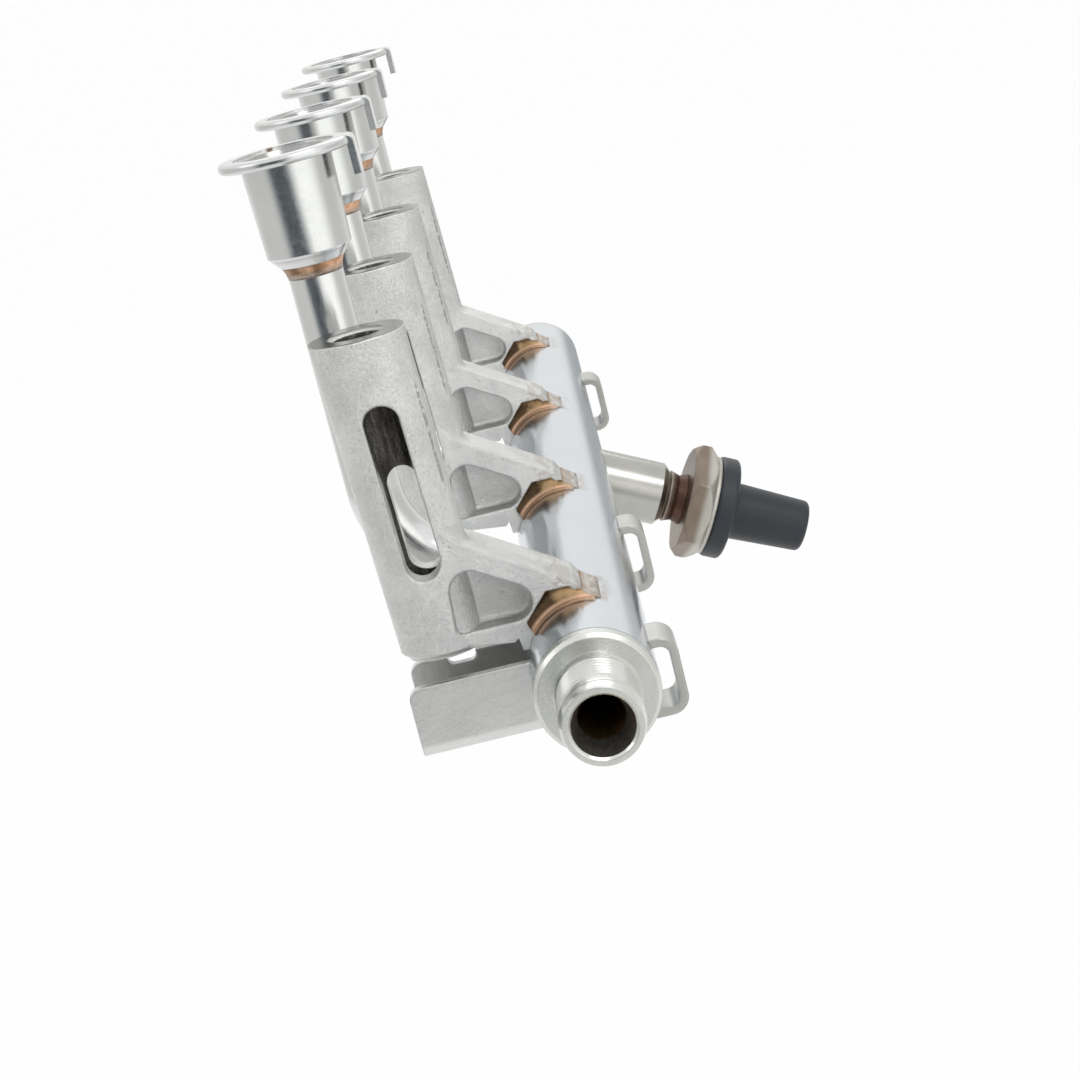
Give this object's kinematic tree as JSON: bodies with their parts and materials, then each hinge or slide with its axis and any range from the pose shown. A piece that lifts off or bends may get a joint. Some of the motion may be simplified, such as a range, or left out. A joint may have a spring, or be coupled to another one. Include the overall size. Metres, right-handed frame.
{
  "type": "fuel rail",
  "caption": "High pressure fuel rail: a straight steel tube with brazed bolt posts, injector cups on bent drop tubes, threaded inlet and a plugged sensor port.",
  "frame": {"origin": "centre of the collar face at the inlet end, on the rail axis", "axes": "+Y along the rail away from the inlet, +Z along the bolt posts towards the mouths of the injector cups, +X to the side of the sensor port"},
  "size_m": [0.1088, 0.3492, 0.1406],
  "materials": {
    "tube_steel": "polished, plated",
    "turned_steel": "turned, plated",
    "drawn_steel": "drawn tube, plated",
    "cast_steel": "cast, fine grain, plated",
    "sheet_steel": "bent sheet, plated satin",
    "copper_braze": "copper braze, flowed",
    "dark_braze": "heat darkened copper braze",
    "adapter_steel": "warm grey satin, stained by the braze",
    "black_plastic": "moulded, satin"
  },
  "bodies": {
    "root": {"bracket_post_1": "cast_steel", "bracket_post_2": "cast_steel", "bracket_post_3": "cast_steel", "bracket_post_4": "cast_steel", "channel_bracket": "sheet_steel", "cup_braze_1": "copper_braze", "cup_braze_2": "copper_braze", "cup_braze_3": "copper_braze", "cup_braze_4": "copper_braze", "drop_tube_1": "drawn_steel", "drop_tube_2": "drawn_steel", "drop_tube_3": "drawn_steel", "drop_tube_4": "drawn_steel", "dust_plug": "black_plastic", "end_plug": "turned_steel", "harness_loop_1": "sheet_steel", "harness_loop_2": "sheet_steel", "harness_loop_3": "sheet_steel", "injector_cup_1": "turned_steel", "injector_cup_2": "turned_steel", "injector_cup_3": "turned_steel", "injector_cup_4": "turned_steel", "inlet_fitting": "turned_steel", "port_adapter": "adapter_steel", "port_braze_neck": "dark_braze", "port_stub": "turned_steel", "rail_braze_1": "copper_braze", "rail_braze_2": "copper_braze", "rail_braze_3": "copper_braze", "rail_braze_4": "copper_braze", "rail_tube": "tube_steel", "saddle_braze_1": "copper_braze", "saddle_braze_2": "copper_braze", "saddle_braze_3": "copper_braze", "saddle_braze_4": "copper_braze"}
  },
  "joints": []
}
